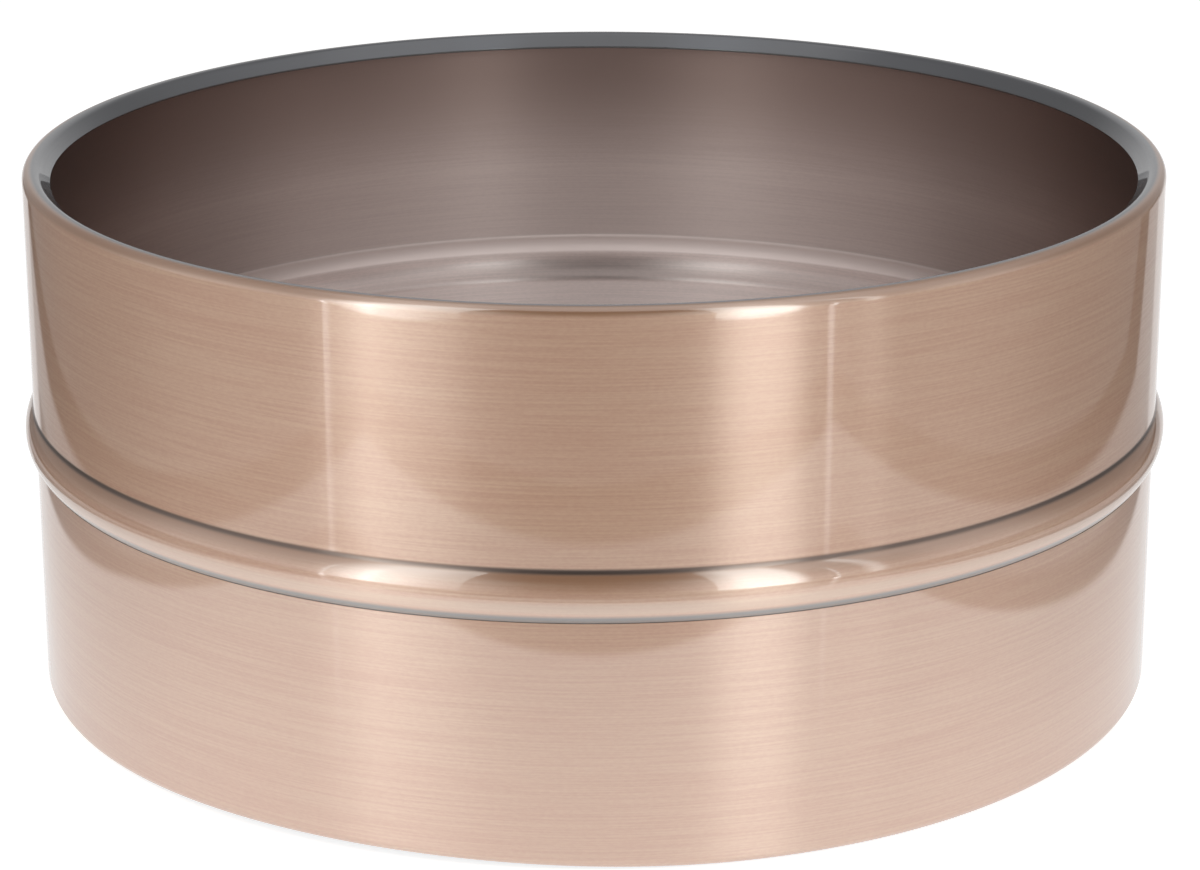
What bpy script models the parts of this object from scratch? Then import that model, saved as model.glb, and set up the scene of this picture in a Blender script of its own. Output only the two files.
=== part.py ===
# Bare snare drum shell: two sheet-metal halves lapped under a rolled centre bead and soldered inside.
# Metres, +Z up. The origin is on the shell's axis, in the plane that the bottom edge stands on.

import math

import bmesh
import bpy

# Overall sizes
SHELL_HEIGHT = 0.1651
WALL_DIAMETER = 0.3542
LOWER_WALL_STEP = 0.0005
SHEET = 0.0012

# Centre bead, measured on its outside
BEAD_HEIGHT = 0.0027
BEAD_RADIUS = 0.0110
BEAD_FILLET = 0.0020

# Lap joint between the halves
JOINT_GAP = 0.0003
SKIRT_LENGTH = 0.0120
SOLDER_WIDTH = 0.0010
SOLDER_HEIGHT = 0.0028
SOLDER_TOE = 0.0003

# Bearing edges: bent in, levelled flat on top, then turned towards the shell's middle
EDGE_BEND = 0.0028
EDGE_LAND = 0.0006
FLANGE_LENGTH = 0.0047
FLANGE_SLOPE = math.radians(45)

# Snare beds pressed into the bottom edge, on the Y axis
BED_DEPTH = 0.00175
BED_HALF_ANGLE = math.radians(42)
BED_DIRECTIONS = (math.radians(-90), math.radians(90))

# Facets
TURN_STEPS = 72
EDGE_BEND_STEPS = 6
FLANGE_BEND_STEPS = 3
FILLET_STEPS = 3
BEAD_STEPS = 5
SEAT_STEPS = 3
SOLDER_STEPS = 4

# Worked out from the sizes above
UPPER_WALL = WALL_DIAMETER / 2
LOWER_WALL = UPPER_WALL - LOWER_WALL_STEP
SKIRT = LOWER_WALL - SHEET - JOINT_GAP
BEAD_CREST = UPPER_WALL + BEAD_HEIGHT
BEAD_CENTRE = (BEAD_CREST - BEAD_RADIUS, SHELL_HEIGHT / 2)


def fillet_beside_bead(wall_radius, side):
    """Centre of the fillet from the bead to a wall above (side 1) or below (side -1), and its turn."""
    reach = BEAD_RADIUS + BEAD_FILLET
    turn = math.acos((wall_radius + BEAD_FILLET - BEAD_CENTRE[0]) / reach)
    centre = (wall_radius + BEAD_FILLET, BEAD_CENTRE[1] + side * reach * math.sin(turn))
    return centre, turn


UPPER_FILLET, UPPER_TURN = fillet_beside_bead(UPPER_WALL, 1)
NECK_FILLET, NECK_TURN = fillet_beside_bead(SKIRT, -1)
SKIRT_END = NECK_FILLET[1] - SKIRT_LENGTH


def arc(centre, radius, start, end, steps):
    """Points on an arc in the (radius, height) plane, both ends included."""
    points = []
    for step in range(steps + 1):
        angle = start + (end - start) * step / steps
        points.append((centre[0] + radius * math.cos(angle), centre[1] + radius * math.sin(angle)))
    return points


def bearing_edge(wall_radius, depth):
    """The flange's tip to the wall, as (radius, distance from the edge's plane), depth inside the sheet."""
    bend = EDGE_BEND - depth
    inner_bend = (wall_radius - EDGE_BEND - EDGE_LAND, -EDGE_BEND)
    outer_bend = (wall_radius - EDGE_BEND, -EDGE_BEND)
    slope_start = math.pi / 2 + FLANGE_SLOPE
    flange = arc(inner_bend, bend, slope_start, math.pi / 2, FLANGE_BEND_STEPS)
    tip = (
        flange[0][0] - FLANGE_LENGTH * math.cos(FLANGE_SLOPE),
        flange[0][1] - FLANGE_LENGTH * math.sin(FLANGE_SLOPE),
    )
    wall_bend = arc(outer_bend, bend, math.pi / 2, 0, EDGE_BEND_STEPS)
    return [(radius, -height) for radius, height in [tip] + flange + wall_bend]


def upper_sheet(depth):
    """Section of the upper half from the flange's tip to the skirt's end, depth inside the sheet."""
    edge = [(radius, SHELL_HEIGHT - drop) for radius, drop in bearing_edge(UPPER_WALL, depth)]
    fillet = arc(UPPER_FILLET, BEAD_FILLET + depth, math.pi, math.pi + UPPER_TURN, FILLET_STEPS)
    above_crest = arc(BEAD_CENTRE, BEAD_RADIUS - depth, UPPER_TURN, 0, BEAD_STEPS)
    below_crest = arc(BEAD_CENTRE, BEAD_RADIUS - depth, 0, -NECK_TURN, BEAD_STEPS)
    neck = arc(NECK_FILLET, BEAD_FILLET + depth, math.pi - NECK_TURN, math.pi, FILLET_STEPS)
    skirt_end = (SKIRT - depth, SKIRT_END)
    return edge + fillet + above_crest[1:] + below_crest[1:] + neck[1:] + [skirt_end]


def height_under_bead(radius):
    """Height at this radius of a surface that clears the bead's underside and neck by the joint's gap."""
    bead_radius = BEAD_RADIUS + JOINT_GAP
    if radius > BEAD_CENTRE[0] + bead_radius * math.cos(NECK_TURN):
        return BEAD_CENTRE[1] - math.sqrt(bead_radius**2 - (radius - BEAD_CENTRE[0]) ** 2)
    fillet_radius = BEAD_FILLET - JOINT_GAP
    return NECK_FILLET[1] + math.sqrt(max(0.0, fillet_radius**2 - (NECK_FILLET[0] - radius) ** 2))


def lower_sheet_section():
    """Closed section of the lower half, with its top edge dressed to the bead's underside."""
    seat = []
    for step in range(SEAT_STEPS + 1):
        radius = LOWER_WALL - SHEET * step / SEAT_STEPS
        seat.append((radius, height_under_bead(radius)))
    outside = bearing_edge(LOWER_WALL, 0)
    inside = bearing_edge(LOWER_WALL, SHEET)
    return seat + inside[::-1] + outside


def solder_section():
    """Closed section of the solder: a hollow fillet between the skirt's end and the lower wall."""
    wall = LOWER_WALL - SHEET - JOINT_GAP
    top = SKIRT_END - JOINT_GAP
    face = []
    for step in range(SOLDER_STEPS + 1):
        angle = math.pi / 2 * step / SOLDER_STEPS
        width = SOLDER_TOE + (SOLDER_WIDTH - SOLDER_TOE) * (1 - math.sin(angle))
        face.append((wall - width, top - SOLDER_HEIGHT * (1 - math.cos(angle))))
    return [(wall, top)] + face + [(wall, top - SOLDER_HEIGHT)]


def metal(name, colour, roughness):
    """Metal with a linear base colour."""
    material = bpy.data.materials.new(name)
    material.use_nodes = True
    shader = material.node_tree.nodes["Principled BSDF"]
    shader.inputs["Base Color"].default_value = (*colour, 1)
    shader.inputs["Metallic"].default_value = 1
    shader.inputs["Roughness"].default_value = roughness
    return material


def turned_ring(name, section, material, axis):
    """A closed section of (radius, height) points turned round the Z axis."""
    shape = bmesh.new()
    corners = [shape.verts.new((radius, 0, height)) for radius, height in section]
    edges = [shape.edges.new((corners[i - 1], corners[i])) for i in range(len(corners))]
    bmesh.ops.spin(
        shape,
        geom=corners + edges,
        cent=(0, 0, 0),
        axis=(0, 0, 1),
        angle=2 * math.pi,
        steps=TURN_STEPS,
        use_merge=True,
    )
    bmesh.ops.recalc_face_normals(shape, faces=shape.faces)
    mesh = bpy.data.meshes.new(name)
    shape.to_mesh(mesh)
    shape.free()
    mesh.shade_smooth()
    mesh.set_sharp_from_angle(angle=math.radians(30))
    mesh.materials.append(material)
    ring = bpy.data.objects.new(name, mesh)
    bpy.context.scene.collection.objects.link(ring)
    ring.parent = axis
    return ring


def bed_rise(angle):
    """How far the bottom edge is pressed up at this angle round the shell."""
    rise = 0.0
    for direction in BED_DIRECTIONS:
        off = abs(math.remainder(angle - direction, 2 * math.pi))
        if off < BED_HALF_ANGLE:
            rise += BED_DEPTH * (1 + math.cos(math.pi * off / BED_HALF_ANGLE)) / 2
    return rise


def press_snare_beds(ring):
    """Lifts the bottom edge's bend and flange whole, so that the wall above them is shorter at the beds."""
    wall_middle = NECK_FILLET[1] / 2
    for vertex in ring.data.vertices:
        if vertex.co.z < wall_middle:
            vertex.co.z += bed_rise(math.atan2(vertex.co.y, vertex.co.x))


def main():
    for found in list(bpy.data.objects):
        bpy.data.objects.remove(found)
    axis = bpy.data.objects.new("shell_axis", None)
    bpy.context.scene.collection.objects.link(axis)
    upper_copper = metal("upper_brushed_copper", (0.45, 0.31, 0.23), 0.35)
    lower_copper = metal("lower_brushed_copper", (0.48, 0.34, 0.26), 0.35)
    plated_solder = metal("plated_solder", (0.24, 0.19, 0.17), 0.45)
    upper_section = upper_sheet(0) + upper_sheet(SHEET)[::-1]
    turned_ring("upper_shell", upper_section, upper_copper, axis)
    lower = turned_ring("lower_shell", lower_sheet_section(), lower_copper, axis)
    press_snare_beds(lower)
    turned_ring("solder_fillet", solder_section(), plated_solder, axis)


main()
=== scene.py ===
# Looks of a bare copper snare drum shell: two turned sheet-metal halves, brushed, with patina and painted
# shade in the creases, painted highlights on the bead, and lacquered, standing in a small white studio.
# Metres, in the frame of the imported model.

import math

import bpy
from mathutils import Matrix, Vector


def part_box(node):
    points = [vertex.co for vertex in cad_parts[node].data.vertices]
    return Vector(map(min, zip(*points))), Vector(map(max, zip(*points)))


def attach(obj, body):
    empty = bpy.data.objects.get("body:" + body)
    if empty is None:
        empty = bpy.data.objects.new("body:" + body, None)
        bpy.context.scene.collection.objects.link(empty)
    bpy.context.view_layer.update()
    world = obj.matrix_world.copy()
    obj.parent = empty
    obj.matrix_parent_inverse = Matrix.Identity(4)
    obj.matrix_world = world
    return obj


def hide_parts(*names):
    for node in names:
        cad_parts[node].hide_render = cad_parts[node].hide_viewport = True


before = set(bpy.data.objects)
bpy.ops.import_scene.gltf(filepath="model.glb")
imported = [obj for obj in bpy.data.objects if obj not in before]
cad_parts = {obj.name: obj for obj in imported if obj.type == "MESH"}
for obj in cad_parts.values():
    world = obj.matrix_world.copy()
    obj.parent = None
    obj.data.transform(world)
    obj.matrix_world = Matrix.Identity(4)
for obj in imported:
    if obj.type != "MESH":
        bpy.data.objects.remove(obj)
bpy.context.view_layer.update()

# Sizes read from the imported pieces
SHELL_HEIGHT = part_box("upper_shell")[1].z
BEAD_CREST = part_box("upper_shell")[1].x
SKIRT_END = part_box("upper_shell")[0].z
LOWER_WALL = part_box("lower_shell")[1].x
SEAT_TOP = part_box("lower_shell")[1].z
SOLDER_LOW, SOLDER_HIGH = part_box("solder_fillet")

# Sheet, bead and joint. The lower half's top edge, the seat, is drawn a little closer under the bead
SHEET = 0.0012
BEAD_HEIGHT = 0.0027
BEAD_RADIUS = 0.0110
BEAD_FILLET = 0.0020
JOINT_GAP = 0.0003
SEAT_RAISE = 0.00025
SEAT = SEAT_TOP + SEAT_RAISE
UPPER_WALL = BEAD_CREST - BEAD_HEIGHT
SKIRT = LOWER_WALL - SHEET - JOINT_GAP
BEAD_MIDDLE = SHELL_HEIGHT / 2
BEAD_CENTRE = BEAD_CREST - BEAD_RADIUS
SOLDER_WIDTH = 0.0010
SOLDER_TOE = 0.0003

# Where the bead's arc gives way to the fillets above and below it
BEAD_REACH = BEAD_RADIUS + BEAD_FILLET
UPPER_TURN = math.acos((UPPER_WALL + BEAD_FILLET - BEAD_CENTRE) / BEAD_REACH)
NECK_TURN = math.acos((SKIRT + BEAD_FILLET - BEAD_CENTRE) / BEAD_REACH)
FILLET_UP = BEAD_MIDDLE + BEAD_REACH * math.sin(UPPER_TURN)
NECK_DOWN = BEAD_MIDDLE - BEAD_REACH * math.sin(NECK_TURN)

# Bearing edges and snare beds. The flange is drawn in rows, each a share of its length
EDGE_BEND = 0.0028
EDGE_LAND = 0.0006
FLANGE_LENGTH = 0.0047
FLANGE_SLOPE = math.radians(45)
FLANGE_ROWS = (0.08, 0.84, 0.08)
CUT_EDGE_ROUND = 0.00025
CUT_EDGE_STEPS = 2
BED_DEPTH = 0.00175
BED_HALF_ANGLE = math.radians(42)
BED_DIRECTIONS = (math.radians(-90), math.radians(90))

# Fineness of the turned meshes, and the angle above which an edge stays sharp
TURN_STEPS = 360
BEAD_STEPS = 20
FILLET_STEPS = 8
BEND_STEPS = 12
SOLDER_STEPS = 8
MERGE_DISTANCE = 0.000001
SMOOTH_ANGLE = math.radians(25)

# Brushing: how fine the scratches, the specks in them and the broad bands are along each axis, and their
# detail. Then how far from its middle the noise is spread, and the shares of specks and of bands
SCRATCHES = (26, 26, 1800)
SCRATCH_DETAIL = 4.0
SPECKS = (600, 600, 1800)
SPECK_DETAIL = 2.0
BANDS = (4, 4, 150)
BAND_DETAIL = 2.0
NOISE_SPREAD = 0.12
SPECK_SHARE = 0.35
BAND_SHARE = 0.15

# The lines' depth, how much the roughness varies with them, and the turn that makes the gloss follow them.
# Then how strongly the metal and the lacquer mirror, and the share of lacquer lost where it is dulled
LINE_DEPTH = 0.00001
ROUGHNESS_SPREAD = 0.04
BRUSHED_TURN = 0.25
METAL_IOR = 3.5
LACQUER_IOR = 2.2
DULLED = 0.9

# Dark patina on the flanges, by radius, and patina with painted shade in the crease over the bead, by
# distance from its height
FLANGE_DARK = 0.1737
FLANGE_CLEAR = 0.1755
CREASE_HEIGHT = 0.0900
CREASE_DARK = 0.0002
CREASE_CLEAR = 0.0012

# Painted shade, in brown, on the bead's upper flank up to the crease, and on the rim's bend, by height
FLANK_CLEAR = 0.0838
FLANK_SHADE = 0.0892
CREASE_TOP = 0.0910
BEND_CLEAR = 0.1622
BEND_SHADE = 0.1640

# Patina and painted shade under the bead, over the seat only, and a painted highlight at its crest, each by
# distance from its height
UNDER_BEAD = 0.0756
UNDER_DARK = 0.0008
UNDER_CLEAR = 0.0024
SEAT_FADE = SEAT_RAISE / 2
CREST = 0.0796
CREST_BRIGHT = 0.0008
CREST_CLEAR = 0.0024
CREST_SHARE = 0.5

# Inside: darker away from a middle height, painted shade above the groove behind the bead, and a painted
# highlight in the groove
INNER_MIDDLE = 0.074
INNER_CLEAR = 0.004
INNER_DARK = 0.081
ABOVE_GROOVE = 0.0886
ABOVE_DARK = 0.0901
ABOVE_SHARE = 0.5
GROOVE = 0.0863
GROOVE_PALE = 0.0030
GROOVE_CLEAR = 0.0039

# Camera, as the photograph was taken: its side of the shell, then its place and aim on that side
VIEW_SIDE = math.radians(25)
CAMERA_BACK = 1.1278
CAMERA_ASIDE = 0.0030
CAMERA_UP = 0.4436
CAMERA_PITCH = math.radians(18.281)
CAMERA_YAW = math.radians(0.067)
CAMERA_ROLL = math.radians(-0.117)
CAMERA_LENS = 111.24
CAMERA_SENSOR = 36

# White tent: the brightness of its walls and of their upper part by degrees from the camera's side, to the
# left below 0, that of its roof, and the slopes at which each part begins and is full
TENT_WALLS = (
    (-180, 0.58),
    (-165, 0.55),
    (-148, 0.28),
    (-117, 0.28),
    (-102, 0.40),
    (-87, 0.66),
    (-72, 0.66),
    (-57, 0.60),
    (-43, 0.75),
    (-30, 0.40),
    (-20, 0.38),
    (-12, 0.10),
    (0, 0.02),
    (12, 0.20),
    (20, 0.50),
    (30, 0.46),
    (43, 0.40),
    (48, 0.46),
    (53, 0.32),
    (60, 0.42),
    (72, 0.64),
    (87, 0.60),
    (102, 0.32),
    (117, 0.26),
    (132, 0.26),
    (148, 0.34),
    (165, 0.55),
    (180, 0.58),
)
TENT_UPPER = (
    (-180, 0.35),
    (-150, 0.32),
    (-120, 0.34),
    (-90, 0.48),
    (-60, 0.48),
    (-35, 0.48),
    (-24, 0.02),
    (24, 0.02),
    (35, 0.58),
    (60, 0.68),
    (90, 0.66),
    (120, 0.46),
    (150, 0.35),
    (180, 0.35),
)
TENT_ROOF = 0.70
UPPER_START = math.sin(math.radians(24))
UPPER_FULL = math.sin(math.radians(40))
ROOF_START = math.sin(math.radians(56))
ROOF_FULL = math.sin(math.radians(66))

# Soft lamps: name, place aside and in front, lowest and highest point, width, brightness, how much that
# changes up to the top, and the fades to the left and the right edge. Each fade has the share of the width
# that it takes, and the levels left at the edge at the bottom and at the top
LAMPS = (
    ("left_softbox", -0.339, 0.499, 0.06, 1.10, 0.277, 2.42, -0.3, (0.45, 0, 0), (0.75, 0.16, 1.0)),
    ("left_core", -0.362, 0.481, 0.06, 0.40, 0.050, 0.8, 0, (0.5, 0, 0), (0.5, 0, 0)),
    ("right_softbox", 0.283, 0.543, 0.06, 1.10, 0.172, 2.85, -0.7, (0.36, 0.5, 0.2), (0.22, 0, 0)),
    ("right_reflector", 0.444, 0.421, 0.06, 1.10, 0.060, 1.15, 0, (0.5, 0, 0), (0.5, 0, 0)),
    ("left_strip", -0.429, 0.436, 0.06, 0.36, 0.012, 1.0, 0, (0.4, 0, 0), (0.4, 0, 0)),
    ("right_strip", 0.393, 0.473, 0.06, 0.36, 0.012, 1.0, 0, (0.4, 0, 0), (0.4, 0, 0)),
)
LAMP_COLOUR = (0.92, 1.0, 1.0)

# Share of a lamp's height at which it begins to fade, and the level left at its top
TOP_FADE = 0.65
TOP_LEVEL = 0.3

# White table on a dimmer ground, as the shell mirrors it. Each area has its reach in front, to the left and
# to the right, how far back its sides begin to spread, how much each of them spreads, how soft its edge is,
# and its brightness
TABLE_AREAS = (
    (0.575, 0.455, 0.485, 0.22, 0.10, 0.60, 0.010, 0.02),
    (0.517, 0.425, 0.455, 0.22, 0.15, 0.60, 0.010, 0.03),
    (0.490, 0.388, 0.415, 0.22, 0.20, 0.55, 0.010, 0.46),
    (0.375, 0.325, 0.312, 0.10, 0.00, 0.00, 0.012, 0.22),
    (0.338, 0.300, 0.275, -0.06, -0.15, 0.00, 0.006, 0.92),
    (-0.16, 0.282, 0.285, 0.16, 0.43, 0.50, 0.012, 0.79),
    (-0.12, 0.235, 0.235, 0.15, 0.30, 0.30, 0.040, 0.98),
)
TABLE_BEYOND = 0.17

# The table within the shell, as the inner wall mirrors it: painted shade, dim, at the back and painted
# light, bright, further forwards
INSIDE_EDGE = 0.010
INSIDE_DIM = 0.13
INSIDE_LIT = 0.04
INSIDE_BACK = 0.20
INSIDE_FRONT = 1.10

# The floor: its size, how far under the shell it lies, its colour and how much the camera sees it lifted
FLOOR_SIZE = 6.0
FLOOR_DROP = 0.0002
FLOOR_COLOUR = (0.8, 0.8, 0.8)
FLOOR_LIFT = 0.70

# Gleams of the lamps on the table: where each starts beside the shell, its degrees from the camera's side,
# how fast it widens to the left and to the right, and how fast it brightens away from the shell
TABLE_GLEAMS = (
    (-0.0727, 0.1615, -52.8, 0.012, 0.036, 1.4),
    (0.0642, 0.1651, 46.1, 0.022, 0.022, 1.5),
)
GLEAM_START = 0.001

# Room between rows of nodes in the floor's editor
ROW_STEP = 500


def studio(aside, front, up):
    """A place in the studio, from the shell's axis: aside to the camera's right, front towards it."""
    return Matrix.Rotation(VIEW_SIDE, 3, "Z") @ Vector((aside, -front, up))


def photo_camera():
    data = bpy.data.cameras.new("photo_camera")
    data.lens = CAMERA_LENS
    data.sensor_width = CAMERA_SENSOR
    camera = bpy.data.objects.new("photo_camera", data)
    bpy.context.scene.collection.objects.link(camera)
    camera.location = studio(CAMERA_ASIDE, CAMERA_BACK, CAMERA_UP)
    turn = Matrix.Rotation(VIEW_SIDE + CAMERA_YAW, 3, "Z")
    tilt = Matrix.Rotation(math.pi / 2 - CAMERA_PITCH, 3, "X")
    roll = Matrix.Rotation(CAMERA_ROLL, 3, "Z")
    camera.rotation_euler = (turn @ tilt @ roll).to_euler()
    bpy.context.scene.camera = camera


# Modelling of the turned sheets


def start_section(name, radius, height):
    """A new object in edit mode that holds one vertex, the pen that draws the section."""
    bpy.ops.object.select_all(action="DESELECT")
    bpy.ops.mesh.primitive_plane_add(size=SHEET, enter_editmode=True, location=(0, 0, 0))
    bpy.context.object.name = name
    bpy.ops.mesh.merge(type="CENTER")
    bpy.ops.transform.translate(value=(radius, 0, height))
    return bpy.context.object


def draw_line(outwards, upwards):
    """A straight stretch from the pen's place."""
    bpy.ops.mesh.extrude_vertices_move(TRANSFORM_OT_translate={"value": (outwards, 0, upwards)})


def draw_flange(outwards):
    """The sloping flange, with a row close to each end so that its flat face is shaded flat."""
    for stretch in FLANGE_ROWS:
        length = FLANGE_LENGTH * stretch
        draw_line(outwards * length * math.cos(FLANGE_SLOPE), length * math.sin(FLANGE_SLOPE))


def draw_arc(radius, height, angle, steps):
    """An arc from the pen's place round a centre, anticlockwise where angle is above 0."""
    bpy.ops.mesh.spin(steps=steps, angle=angle, center=(radius, 0, height), axis=(0, 1, 0))


def turn_section(ring):
    """Turns the drawn section round the shell's axis, with its faces outwards."""
    bpy.ops.mesh.select_all(action="SELECT")
    bpy.ops.mesh.spin(steps=TURN_STEPS, angle=2 * math.pi, center=(0, 0, 0), axis=(0, 0, 1))
    bpy.ops.mesh.select_all(action="SELECT")
    bpy.ops.mesh.remove_doubles(threshold=MERGE_DISTANCE)
    bpy.ops.mesh.normals_make_consistent(inside=False)
    ring.update_from_editmode()
    wall = max(ring.data.polygons, key=lambda face: face.area)
    if wall.normal.dot((wall.center.x, wall.center.y, 0)) < 0:
        bpy.ops.mesh.flip_normals()
    bpy.ops.object.mode_set(mode="OBJECT")


def thicken_inwards(ring):
    """Gives the turned skin the sheet's thickness on its inner side."""
    sheet = ring.modifiers.new("sheet", "SOLIDIFY")
    sheet.thickness = SHEET
    sheet.offset = -1
    sheet.use_even_offset = True
    sheet.material_offset = 1
    sheet.material_offset_rim = 2
    bpy.ops.object.modifier_apply(modifier="sheet")


def select_vertices(ring, wanted):
    """Selects, in edit mode, the vertices whose radius and height are wanted."""
    bpy.ops.object.mode_set(mode="EDIT")
    bpy.ops.mesh.select_mode(type="VERT")
    bpy.ops.mesh.select_all(action="DESELECT")
    bpy.ops.object.mode_set(mode="OBJECT")
    for vertex in ring.data.vertices:
        vertex.select = wanted(math.hypot(vertex.co.x, vertex.co.y), vertex.co.z)
    bpy.ops.object.mode_set(mode="EDIT")


def flange_tip(wall_radius):
    """Radius of the flange's tip on the sheet's outer face, and its distance from the edge's plane."""
    bend_in = wall_radius - EDGE_BEND - EDGE_LAND
    radius = bend_in - EDGE_BEND * math.sin(FLANGE_SLOPE) - FLANGE_LENGTH * math.cos(FLANGE_SLOPE)
    drop = EDGE_BEND * (1 - math.cos(FLANGE_SLOPE)) + FLANGE_LENGTH * math.sin(FLANGE_SLOPE)
    return radius, drop


def round_cut_edge(ring, wall_radius):
    """Breaks the two sharp corners of the sheet's cut edge at the flange's tip."""
    tip_radius = flange_tip(wall_radius)[0]
    select_vertices(ring, lambda radius, height: radius < tip_radius + SHEET)
    bpy.ops.mesh.bevel(offset=CUT_EDGE_ROUND, segments=CUT_EDGE_STEPS, affect="EDGES")
    bpy.ops.object.mode_set(mode="OBJECT")


def sheet_ring(ring, finishes):
    """The drawn section turned and given the sheet's thickness: outer face, inner face and cut edge."""
    turn_section(ring)
    for finish in finishes:
        ring.data.materials.append(finish)
    thicken_inwards(ring)


def finished_half(ring, wall_radius, node):
    """The ring with its cut edge broken, smoothed, in place of its packed half."""
    round_cut_edge(ring, wall_radius)
    bpy.ops.object.shade_smooth_by_angle(angle=SMOOTH_ANGLE)
    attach(ring, "root")
    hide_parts(node)


def upper_half(finishes):
    """Flange, bearing edge, wall, centre bead and the skirt under it, drawn down the sheet's outer face."""
    tip_radius, tip_drop = flange_tip(UPPER_WALL)
    bend_height = SHELL_HEIGHT - EDGE_BEND
    ring = start_section("upper_half", tip_radius, SHELL_HEIGHT - tip_drop)
    draw_flange(1)
    draw_arc(UPPER_WALL - EDGE_BEND - EDGE_LAND, bend_height, -FLANGE_SLOPE, BEND_STEPS // 2)
    draw_line(EDGE_LAND, 0)
    draw_arc(UPPER_WALL - EDGE_BEND, bend_height, -math.pi / 2, BEND_STEPS)
    draw_line(0, FILLET_UP - bend_height)
    draw_arc(UPPER_WALL + BEAD_FILLET, FILLET_UP, UPPER_TURN, FILLET_STEPS)
    draw_arc(BEAD_CENTRE, BEAD_MIDDLE, -UPPER_TURN, BEAD_STEPS)
    draw_arc(BEAD_CENTRE, BEAD_MIDDLE, -NECK_TURN, BEAD_STEPS)
    draw_arc(SKIRT + BEAD_FILLET, NECK_DOWN, NECK_TURN, FILLET_STEPS)
    draw_line(0, SKIRT_END - NECK_DOWN)
    sheet_ring(ring, finishes)
    finished_half(ring, UPPER_WALL, "upper_shell")


def lower_half(finishes):
    """Wall, bottom bearing edge and flange, drawn down the sheet's outer face, and the snare beds."""
    ring = start_section("lower_half", LOWER_WALL, SEAT)
    draw_line(0, EDGE_BEND - SEAT)
    draw_arc(LOWER_WALL - EDGE_BEND, EDGE_BEND, -math.pi / 2, BEND_STEPS)
    draw_line(-EDGE_LAND, 0)
    draw_arc(LOWER_WALL - EDGE_BEND - EDGE_LAND, EDGE_BEND, -FLANGE_SLOPE, BEND_STEPS // 2)
    draw_flange(-1)
    sheet_ring(ring, finishes)
    dress_seat(ring)
    finished_half(ring, LOWER_WALL, "lower_shell")
    press_snare_beds(ring)


def dress_seat(ring):
    """Slopes the lower half's top edge to follow the bead's underside."""
    middle = LOWER_WALL - SHEET / 2
    select_vertices(ring, lambda radius, height: radius < middle and height > SEAT_TOP - SHEET)
    bpy.ops.transform.translate(value=(0, 0, NECK_DOWN - SEAT_TOP))
    bpy.ops.object.mode_set(mode="OBJECT")


def bed_rise(angle):
    """How far the bottom edge is pressed up at this angle round the shell."""
    rise = 0.0
    for direction in BED_DIRECTIONS:
        off = abs(math.remainder(angle - direction, 2 * math.pi))
        if off < BED_HALF_ANGLE:
            rise += BED_DEPTH * (1 + math.cos(math.pi * off / BED_HALF_ANGLE)) / 2
    return rise


def press_snare_beds(ring):
    """Lifts the bottom bend and flange whole, so that the wall above them is shorter at the beds."""
    for vertex in ring.data.vertices:
        if vertex.co.z < SEAT_TOP / 2:
            vertex.co.z += bed_rise(math.atan2(vertex.co.y, vertex.co.x))


def solder_seam(finish):
    """The solder in the corner between the skirt's end and the lower wall, with a hollow face."""
    height = SOLDER_HIGH.z - SOLDER_LOW.z
    hollow = SOLDER_WIDTH - SOLDER_TOE
    ring = start_section("solder_seam", SOLDER_HIGH.x, SOLDER_HIGH.z)
    draw_line(-SOLDER_WIDTH, 0)
    angle = math.pi / 2 / SOLDER_STEPS
    for step in range(SOLDER_STEPS):
        outwards = hollow * (math.sin(angle * (step + 1)) - math.sin(angle * step))
        downwards = height * (math.cos(angle * (step + 1)) - math.cos(angle * step))
        draw_line(outwards, downwards)
    draw_line(SOLDER_TOE, 0)
    draw_line(0, height)
    turn_section(ring)
    ring.data.materials.append(finish)
    bpy.ops.object.shade_smooth_by_angle(angle=SMOOTH_ANGLE)
    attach(ring, "root")
    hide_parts("solder_fillet")


# Finishes


def new_finish(name):
    material = bpy.data.materials.new(name)
    material.use_nodes = True
    return material, material.node_tree, material.node_tree.nodes["Principled BSDF"]


def add(tree, kind, place, **settings):
    """A node with its settings, at a place in the editor."""
    node = tree.nodes.new(kind)
    node.location = place
    for name, value in settings.items():
        setattr(node, name, value)
    return node


def plug(tree, value, socket):
    """Sets a socket to a plain number or colour, or links another socket to it."""
    if isinstance(value, (int, float, tuple)):
        socket.default_value = value
    else:
        tree.links.new(value, socket)


def math_node(tree, operation, place, *values):
    """A Math node whose inputs are sockets or plain numbers."""
    node = add(tree, "ShaderNodeMath", place, operation=operation)
    for socket, value in zip(node.inputs, values):
        plug(tree, value, socket)
    return node.outputs[0]


def mix(tree, place, share, low, high, kind="FLOAT"):
    """Low where the share is 0 and high where it is 1, of sockets, plain numbers or colours."""
    node = add(tree, "ShaderNodeMix", place, data_type=kind)
    for name, value in (("Factor", share), ("A", low), ("B", high)):
        plug(tree, value, node.inputs[name])
    return node.outputs["Result"]


def fade(tree, value, start, end, place):
    """0 at start and before it, 1 at end and after it."""
    ramp = add(tree, "ShaderNodeMapRange", place, interpolation_type="SMOOTHSTEP")
    ramp.inputs["From Min"].default_value = start
    ramp.inputs["From Max"].default_value = end
    tree.links.new(value, ramp.inputs["Value"])
    return ramp.outputs["Result"]


def new_group(name, *outputs):
    group = bpy.data.node_groups.new(name, "ShaderNodeTree")
    for output in outputs:
        group.interface.new_socket(output, in_out="OUTPUT", socket_type="NodeSocketFloat")
    return group, add(group, "NodeGroupOutput", (600, 0))


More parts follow.
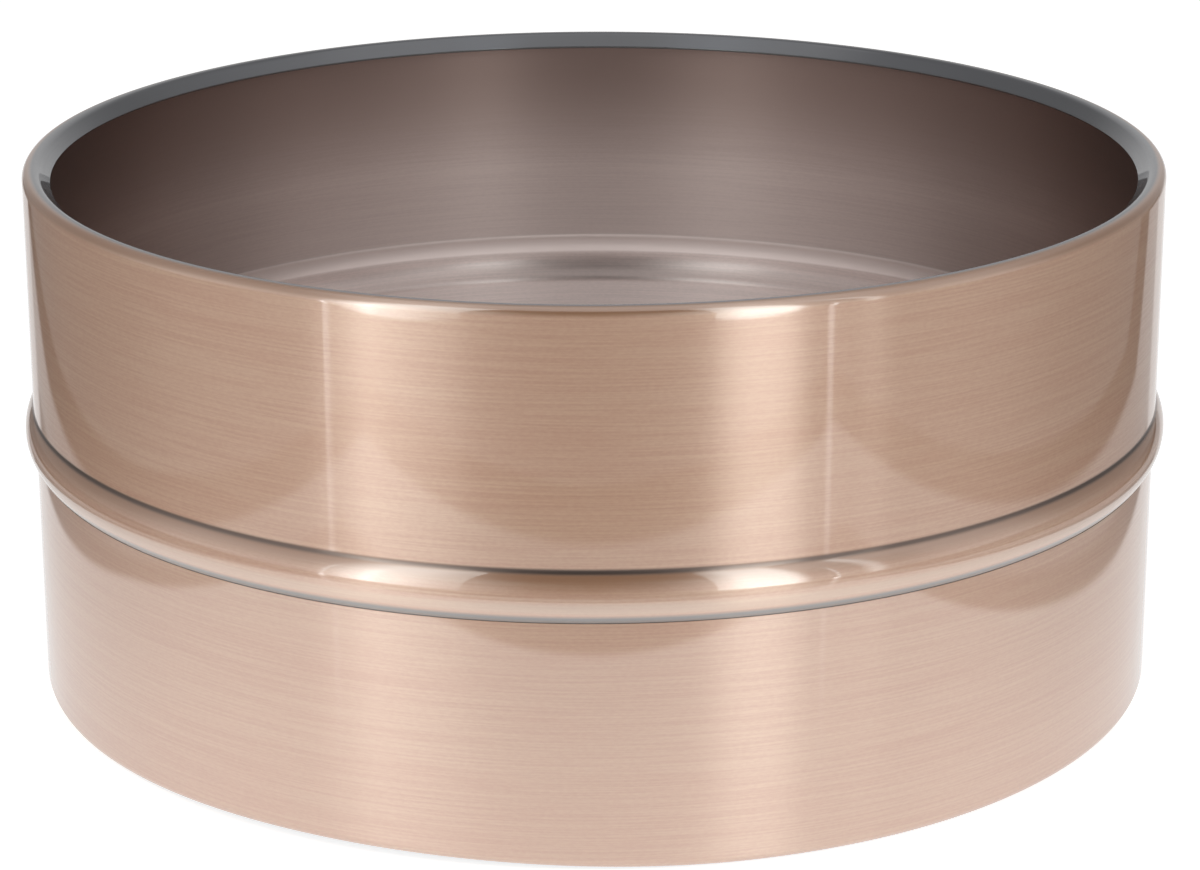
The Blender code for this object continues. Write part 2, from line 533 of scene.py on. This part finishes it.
def noise(group, coordinates, scale, detail, place):
    """Noise stretched by a scale along each axis, spread out to 0 to 1."""
    stretch = add(group, "ShaderNodeMapping", place)
    stretch.inputs["Scale"].default_value = scale
    cloud = add(group, "ShaderNodeTexNoise", (place[0] + 200, place[1]))
    cloud.inputs["Scale"].default_value = 1
    cloud.inputs["Detail"].default_value = detail
    level = add(group, "ShaderNodeMapRange", (place[0] + 400, place[1]))
    level.inputs["From Min"].default_value = 0.5 - NOISE_SPREAD
    level.inputs["From Max"].default_value = 0.5 + NOISE_SPREAD
    group.links.new(coordinates, stretch.inputs["Vector"])
    group.links.new(stretch.outputs["Vector"], cloud.inputs["Vector"])
    group.links.new(cloud.outputs["Fac"], level.inputs["Value"])
    return level.outputs["Result"]


def brushed_grain():
    """Group: fine lines with specks, and broad bands, as a brushing belt leaves them round the shell."""
    group, ends = new_group("brushed_grain", "Lines", "Bands")
    place = add(group, "ShaderNodeTexCoord", (-900, 0)).outputs["Object"]
    scratches = noise(group, place, SCRATCHES, SCRATCH_DETAIL, (-650, 0))
    specks = noise(group, place, SPECKS, SPECK_DETAIL, (-650, 300))
    broken = math_node(group, "MULTIPLY", (0, 300), specks, SPECK_SHARE)
    lines = math_node(group, "MULTIPLY_ADD", (0, 0), scratches, 1 - SPECK_SHARE, broken)
    bands = noise(group, place, BANDS, BAND_DETAIL, (-650, -300))
    group.links.new(lines, ends.inputs["Lines"])
    group.links.new(bands, ends.inputs["Bands"])
    return group


def near_height(group, height, middle, full, clear, place):
    """1 within full of a height, 0 beyond clear of it."""
    off = math_node(group, "SUBTRACT", place, height, middle)
    distance = math_node(group, "ABSOLUTE", (place[0] + 200, place[1]), off)
    return fade(group, distance, clear, full, (place[0] + 400, place[1]))


def patina_and_painted_light():
    """Group: masks of patina where the brushing belt doesn't reach, of painted shade and of painted
    highlights, on both faces.
    """
    outputs = ("Flange", "Shaded flank and bend", "Crest highlight", "Crease patina and shade", "Under bead patina and shade", "Inside", "Groove highlight")
    group, ends = new_group("patina_and_painted_light", *outputs)
    place = add(group, "ShaderNodeTexCoord", (-1300, 0)).outputs["Object"]
    split = add(group, "ShaderNodeSeparateXYZ", (-1100, 0))
    group.links.new(place, split.inputs["Vector"])
    flat = add(group, "ShaderNodeCombineXYZ", (-900, 200))
    group.links.new(split.outputs["X"], flat.inputs["X"])
    group.links.new(split.outputs["Y"], flat.inputs["Y"])
    length = add(group, "ShaderNodeVectorMath", (-700, 200), operation="LENGTH")
    group.links.new(flat.outputs["Vector"], length.inputs[0])
    height = split.outputs["Z"]
    flange = fade(group, length.outputs["Value"], FLANGE_CLEAR, FLANGE_DARK, (-500, 200))
    # Painted shade in brown on the bead's upper flank and on the rim's bend
    rising = fade(group, height, FLANK_CLEAR, FLANK_SHADE, (-500, 500))
    below_crease = fade(group, height, CREASE_TOP, CREASE_HEIGHT, (-500, 700))
    flank = math_node(group, "MULTIPLY", (-300, 500), rising, below_crease)
    bend = fade(group, height, BEND_CLEAR, BEND_SHADE, (-300, 700))
    flank_and_bend_shade = math_node(group, "MAXIMUM", (-100, 500), flank, bend)
    # Painted highlight along the bead, a little under its crest
    crest_band = near_height(group, height, CREST, CREST_BRIGHT, CREST_CLEAR, (-900, 900))
    crest = math_node(group, "MULTIPLY", (-300, 900), crest_band, CREST_SHARE)
    # Patina and painted shade in the crease over the bead
    crease = near_height(group, height, CREASE_HEIGHT, CREASE_DARK, CREASE_CLEAR, (-700, 0))
    # Patina and painted shade in a grey line under the bead
    near_bead = near_height(group, height, UNDER_BEAD, UNDER_DARK, UNDER_CLEAR, (-900, -200))
    over_seat = fade(group, height, SEAT, SEAT + SEAT_FADE, (-500, -300))
    under = math_node(group, "MULTIPLY", (-300, -200), near_bead, over_seat)
    off_middle = math_node(group, "SUBTRACT", (-700, -500), height, INNER_MIDDLE)
    from_middle = math_node(group, "ABSOLUTE", (-500, -500), off_middle)
    to_edges = fade(group, from_middle, INNER_CLEAR, INNER_DARK, (-300, -500))
    # Painted shade above the groove behind the bead
    above = fade(group, height, ABOVE_GROOVE, ABOVE_DARK, (-300, -700))
    shade_over_groove = math_node(group, "MULTIPLY", (-100, -700), above, ABOVE_SHARE)
    inside = math_node(group, "MAXIMUM", (100, -500), to_edges, shade_over_groove)
    # Painted highlight in the groove behind the bead
    groove = near_height(group, height, GROOVE, GROOVE_PALE, GROOVE_CLEAR, (-900, -900))
    for output, mask in zip(ends.inputs, (flange, flank_and_bend_shade, crest, crease, under, inside, groove)):
        group.links.new(mask, output)
    return group


def lacquered_metal(
    name, metallic, roughness, grain, patina_and_light, light, dark, patina_and_light_marks, dull, coat, coat_roughness, along
):
    """Metal brushed round the shell under clear lacquer, in streaks from dark to light. Each mark, of
    patina, painted shade or painted highlight, has its mask, its colour, and whether it shows as bare
    metal. The lacquer is dulled by the dull mask."""
    material, tree, shader = new_finish(name)
    brush = add(tree, "ShaderNodeGroup", (-1500, 200), node_tree=grain)
    masks = add(tree, "ShaderNodeGroup", (-1500, -200), node_tree=patina_and_light)
    lines = brush.outputs["Lines"]
    bands = math_node(tree, "MULTIPLY", (-1300, 100), brush.outputs["Bands"], BAND_SHARE)
    streaks = math_node(tree, "MULTIPLY_ADD", (-1150, 200), lines, 1 - BAND_SHARE, bands)
    colour = mix(tree, (-950, 300), streaks, (*dark, 1), (*light, 1), "RGBA")
    bare = 0
    for column, (output, mark_colour, bares) in enumerate(patina_and_light_marks):
        across = -750 + 200 * column
        mask = masks.outputs[output]
        colour = mix(tree, (across, 300), mask, colour, (*mark_colour, 1), "RGBA")
        if bares:
            bare = math_node(tree, "MAXIMUM", (across, 0), bare, mask)
    metal = math_node(tree, "MULTIPLY_ADD", (-150, 0), bare, 1 - metallic, metallic)
    lowest = roughness - ROUGHNESS_SPREAD / 2
    rough = math_node(tree, "MULTIPLY_ADD", (-150, -200), lines, ROUGHNESS_SPREAD, lowest)
    bump = add(tree, "ShaderNodeBump", (-150, -400))
    bump.inputs["Strength"].default_value = 1
    bump.inputs["Distance"].default_value = LINE_DEPTH
    tree.links.new(lines, bump.inputs["Height"])
    lacquer = math_node(tree, "MULTIPLY_ADD", (-150, -600), masks.outputs[dull], -DULLED * coat, coat)
    tree.links.new(colour, shader.inputs["Base Color"])
    tree.links.new(metal, shader.inputs["Metallic"])
    tree.links.new(rough, shader.inputs["Roughness"])
    tree.links.new(bump.outputs["Normal"], shader.inputs["Normal"])
    tree.links.new(lacquer, shader.inputs["Coat Weight"])
    shader.inputs["IOR"].default_value = METAL_IOR
    shader.inputs["Anisotropic"].default_value = along
    shader.inputs["Anisotropic Rotation"].default_value = BRUSHED_TURN
    shader.inputs["Coat Roughness"].default_value = coat_roughness
    shader.inputs["Coat IOR"].default_value = LACQUER_IOR
    return material


# Studio


def side_fade(tree, split, edge, reach, down):
    """A lamp's fade to one edge: its share of the width, and the levels left at the bottom and the top."""
    share, bottom, top = reach
    full = fade(tree, split.outputs["X"], edge, abs(edge - share), (-500, down))
    left_over = mix(tree, (-500, down - 200), split.outputs["Y"], bottom, top)
    return mix(tree, (-300, down), full, left_over, 1)


def softbox(name, aside, front, low, high, width, brightness, gain, left_fade, right_fade):
    """An upright soft lamp that faces the shell's axis and fades to each side and to its top."""
    data = bpy.data.lights.new(name, "AREA")
    data.shape = "RECTANGLE"
    data.size = width
    data.size_y = high - low
    data.energy = brightness * math.pi * width * (high - low)
    data.color = LAMP_COLOUR
    lamp = bpy.data.objects.new(name, data)
    bpy.context.scene.collection.objects.link(lamp)
    lamp.location = studio(aside, front, (low + high) / 2)
    to_axis = Vector((-lamp.location.x, -lamp.location.y, 0))
    lamp.rotation_euler = to_axis.to_track_quat("-Z", "Y").to_euler()
    lamp.visible_camera = False
    data.use_nodes = True
    tree = data.node_tree
    split = add(tree, "ShaderNodeSeparateXYZ", (-700, 0))
    face = add(tree, "ShaderNodeNewGeometry", (-900, 0))
    tree.links.new(face.outputs["Parametric"], split.inputs["Vector"])
    left = side_fade(tree, split, 0, left_fade, 200)
    right = side_fade(tree, split, 1, right_fade, -300)
    across = math_node(tree, "MULTIPLY", (-150, 0), left, right)
    upwards = math_node(tree, "MULTIPLY_ADD", (-300, -700), split.outputs["Y"], gain, 1)
    below_top = fade(tree, split.outputs["Y"], 1, TOP_FADE, (-500, -900))
    top = mix(tree, (-300, -900), below_top, TOP_LEVEL, 1)
    falling = math_node(tree, "MULTIPLY", (-100, -700), upwards, top)
    glow = math_node(tree, "MULTIPLY", (50, 0), across, falling)
    tree.links.new(glow, tree.nodes["Emission"].inputs["Strength"])


def studio_axes(tree, coordinates, place):
    """The studio's own axes in a node tree: X to the camera's right, -Y towards the camera."""
    turn = add(tree, "ShaderNodeMapping", place)
    turn.inputs["Rotation"].default_value = (0, 0, -VIEW_SIDE)
    split = add(tree, "ShaderNodeSeparateXYZ", (place[0] + 200, place[1]))
    tree.links.new(coordinates, turn.inputs["Vector"])
    tree.links.new(turn.outputs["Vector"], split.inputs["Vector"])
    return split


def tent_ring(tree, share, levels, place):
    """Brightness round the tent, from its levels by degrees."""
    ring = add(tree, "ShaderNodeValToRGB", place)
    for degrees, level in levels:
        if abs(degrees) == 180:
            stop = ring.color_ramp.elements[0 if degrees < 0 else -1]
        else:
            stop = ring.color_ramp.elements.new(0.5 + degrees / 360)
        stop.color = (level, level, level, 1)
    tree.links.new(share, ring.inputs["Fac"])
    return ring.outputs["Color"]


def white_world():
    """White to the camera. To the shell it is a white tent, open and dim in front and dimmer behind."""
    world = bpy.data.worlds.new("white_tent")
    bpy.context.scene.world = world
    world.use_nodes = True
    tree = world.node_tree
    background = tree.nodes["Background"]
    background.inputs["Color"].default_value = (1, 1, 1, 1)
    place = add(tree, "ShaderNodeTexCoord", (-1400, 0)).outputs["Generated"]
    axes = studio_axes(tree, place, (-1200, 0))
    front = math_node(tree, "MULTIPLY", (-800, 0), axes.outputs["Y"], -1)
    angle = math_node(tree, "ARCTAN2", (-600, 0), axes.outputs["X"], front)
    share = math_node(tree, "MULTIPLY_ADD", (-450, 0), angle, 0.5 / math.pi, 0.5)
    walls = tent_ring(tree, share, TENT_WALLS, (-300, 0))
    upper_walls = tent_ring(tree, share, TENT_UPPER, (-300, -300))
    to_upper = fade(tree, axes.outputs["Z"], UPPER_START, UPPER_FULL, (-300, 300))
    to_roof = fade(tree, axes.outputs["Z"], ROOF_START, ROOF_FULL, (0, 300))
    sides = mix(tree, (0, 0), to_upper, walls, upper_walls)
    tent = mix(tree, (200, 0), to_roof, sides, TENT_ROOF)
    rays = add(tree, "ShaderNodeLightPath", (200, 300))
    seen = mix(tree, (400, 0), rays.outputs["Is Camera Ray"], tent, 1)
    tree.links.new(seen, background.inputs["Strength"])


def table_area(tree, axes, front, left, right, spread_from, spread_left, spread_right, edge, down):
    """1 on an area of the table whose sides spread towards the back, 0 beside and before it."""
    before = math_node(tree, "MULTIPLY", (-1200, down), axes.outputs["Y"], -1)
    past = math_node(tree, "SUBTRACT", (-1200, down - 150), axes.outputs["Y"], spread_from)
    behind = math_node(tree, "MAXIMUM", (-1050, down - 150), past, 0)
    inside = fade(tree, before, front + edge, front - edge, (-750, down))
    for way, reach, spread in ((-1, left, spread_left), (1, right, spread_right)):
        sideways = math_node(tree, "MULTIPLY", (-900, down - 300), axes.outputs["X"], way)
        off = math_node(tree, "MULTIPLY_ADD", (-750, down - 300), behind, -spread, sideways)
        within = fade(tree, off, reach + edge, reach - edge, (-600, down - 300))
        inside = math_node(tree, "MULTIPLY", (-450, down), inside, within)
    return inside


def table_gleam(tree, axes, aside, front, degrees, slope_left, slope_right, rise, down):
    """Brightness of a thin gleam that starts beside the shell and grows brighter away from it."""
    place = add(tree, "ShaderNodeCombineXYZ", (-1200, down))
    tree.links.new(axes.outputs["X"], place.inputs["X"])
    tree.links.new(axes.outputs["Y"], place.inputs["Y"])
    turn = add(tree, "ShaderNodeMapping", (-1050, down), vector_type="TEXTURE")
    turn.inputs["Location"].default_value = (aside, -front, 0)
    turn.inputs["Rotation"].default_value = (0, 0, math.radians(degrees))
    split = add(tree, "ShaderNodeSeparateXYZ", (-900, down))
    tree.links.new(place.outputs["Vector"], turn.inputs["Vector"])
    tree.links.new(turn.outputs["Vector"], split.inputs["Vector"])
    forward = math_node(tree, "MULTIPLY", (-900, down - 200), split.outputs["Y"], -1)
    away = math_node(tree, "MAXIMUM", (-750, down), forward, GLEAM_START)
    slope = math_node(tree, "DIVIDE", (-600, down), split.outputs["X"], away)
    left = fade(tree, slope, -slope_left, 0, (-450, down))
    right = fade(tree, slope, slope_right, 0, (-450, down - 200))
    across = math_node(tree, "MULTIPLY", (-300, down), left, right)
    grown = math_node(tree, "MULTIPLY", (-300, down - 200), away, rise)
    return math_node(tree, "MULTIPLY", (-150, down), across, grown)


def mirrored_table(tree):
    """Brightness of the white table and the ground round it, as the shell mirrors them."""
    place = add(tree, "ShaderNodeTexCoord", (-1600, 0)).outputs["Object"]
    axes = studio_axes(tree, place, (-1400, 0))
    shown = TABLE_BEYOND
    for row, (*reach, brightness) in enumerate(TABLE_AREAS):
        down = -ROW_STEP * row
        area = table_area(tree, axes, *reach, down)
        shown = mix(tree, (-200, down), area, shown, brightness)
    for row, gleam in enumerate(TABLE_GLEAMS, len(TABLE_AREAS)):
        down = -ROW_STEP * row
        bright = table_gleam(tree, axes, *gleam, down)
        shown = math_node(tree, "ADD", (0, down), shown, bright)
    down = -ROW_STEP * (len(TABLE_AREAS) + len(TABLE_GLEAMS))
    from_axis = add(tree, "ShaderNodeVectorMath", (-1400, down), operation="LENGTH")
    tree.links.new(place, from_axis.inputs[0])
    # Painted shade at the back and painted light further forwards on the table within the shell
    within = fade(tree, from_axis.outputs["Value"], SKIRT, SKIRT - INSIDE_EDGE, (-1200, down))
    forwards = fade(tree, axes.outputs["Y"], INSIDE_DIM, INSIDE_LIT, (-1200, down - 200))
    inside = mix(tree, (-1000, down - 200), forwards, INSIDE_BACK, INSIDE_FRONT)
    return mix(tree, (0, down), within, shown, inside)


def pale_floor():
    """A pale floor that keeps the shell's shadow. The shell mirrors it as a table on a dimmer ground."""
    bpy.ops.object.select_all(action="DESELECT")
    bpy.ops.mesh.primitive_plane_add(size=FLOOR_SIZE, location=(0, 0, 0))
    floor = bpy.context.object
    floor.name = "pale_floor"
    floor.location.z = -FLOOR_DROP
    material = bpy.data.materials.new("pale_floor")
    material.use_nodes = True
    tree = material.node_tree
    tree.nodes.clear()
    rays = add(tree, "ShaderNodeLightPath", (-400, 500))
    mirrored = add(tree, "ShaderNodeEmission", (200, 0))
    lit = add(tree, "ShaderNodeBsdfDiffuse", (-100, 300))
    lit.inputs["Color"].default_value = (*FLOOR_COLOUR, 1)
    lift = add(tree, "ShaderNodeEmission", (-100, 500))
    lifted = add(tree, "ShaderNodeAddShader", (150, 400))
    either = add(tree, "ShaderNodeMixShader", (400, 200))
    out = add(tree, "ShaderNodeOutputMaterial", (600, 200))
    seen = math_node(tree, "MULTIPLY", (-250, 600), rays.outputs["Is Camera Ray"], FLOOR_LIFT)
    tree.links.new(seen, lift.inputs["Strength"])
    tree.links.new(mirrored_table(tree), mirrored.inputs["Strength"])
    tree.links.new(lit.outputs[0], lifted.inputs[0])
    tree.links.new(lift.outputs[0], lifted.inputs[1])
    tree.links.new(rays.outputs["Is Glossy Ray"], either.inputs["Fac"])
    tree.links.new(lifted.outputs[0], either.inputs[1])
    tree.links.new(mirrored.outputs[0], either.inputs[2])
    tree.links.new(either.outputs[0], out.inputs["Surface"])
    floor.data.materials.append(material)


def main():
    bpy.context.scene.view_settings.view_transform = "Standard"
    photo_camera()
    grain = brushed_grain()
    patina_and_light = patina_and_painted_light()
    outside = lacquered_metal(
        "brushed_copper",
        metallic=0.3,
        roughness=0.34,
        grain=grain,
        patina_and_light=patina_and_light,
        light=(1.00, 0.61, 0.395),
        dark=(0.86, 0.43, 0.26),
        patina_and_light_marks=(
            # Painted shade in brown on the bead's upper flank and the rim's bend
            ("Shaded flank and bend", (0.48, 0.21, 0.085), False),
            # Painted highlight on the bead's crest, where it shows as bare metal
            ("Crest highlight", (1.0, 0.80, 0.65), True),
            ("Flange", (0.108, 0.112, 0.13), True),
            # Patina and painted shade in the crease over the bead
            ("Crease patina and shade", (0.32, 0.245, 0.21), True),
            # Patina and painted shade in a grey line under the bead
            ("Under bead patina and shade", (0.34, 0.335, 0.33), True),
        ),
        dull="Crease patina and shade",
        coat=1.0,
        coat_roughness=0.03,
        along=1.0,
    )
    inside = lacquered_metal(
        "inner_copper",
        metallic=1.0,
        roughness=0.42,
        grain=grain,
        patina_and_light=patina_and_light,
        light=(0.78, 0.64, 0.60),
        dark=(0.66, 0.545, 0.51),
        # Darker towards the top and bottom, painted shade above the groove, and a painted highlight in the
        # groove
        patina_and_light_marks=(("Inside", (0.29, 0.21, 0.185), True), ("Groove highlight", (0.91, 0.775, 0.73), True)),
        dull="Inside",
        coat=0.3,
        coat_roughness=0.2,
        along=0.85,
    )
    cut_edge = lacquered_metal(
        "cut_edge",
        metallic=1.0,
        roughness=0.35,
        grain=grain,
        patina_and_light=patina_and_light,
        light=(0.16, 0.155, 0.15),
        dark=(0.12, 0.12, 0.115),
        patina_and_light_marks=(("Flange", (0.10, 0.10, 0.10), True),),
        dull="Crease patina and shade",
        coat=1.0,
        coat_roughness=0.03,
        along=1.0,
    )
    solder = lacquered_metal(
        "plated_solder",
        metallic=0.6,
        roughness=0.42,
        grain=grain,
        patina_and_light=patina_and_light,
        light=(0.30, 0.21, 0.18),
        dark=(0.24, 0.17, 0.145),
        patina_and_light_marks=(("Inside", (0.15, 0.10, 0.085), True),),
        dull="Inside",
        coat=0.3,
        coat_roughness=0.2,
        along=0.6,
    )
    upper_half((outside, inside, cut_edge))
    lower_half((outside, inside, cut_edge))
    solder_seam(solder)
    white_world()
    pale_floor()
    for lamp in LAMPS:
        softbox(*lamp)


main()
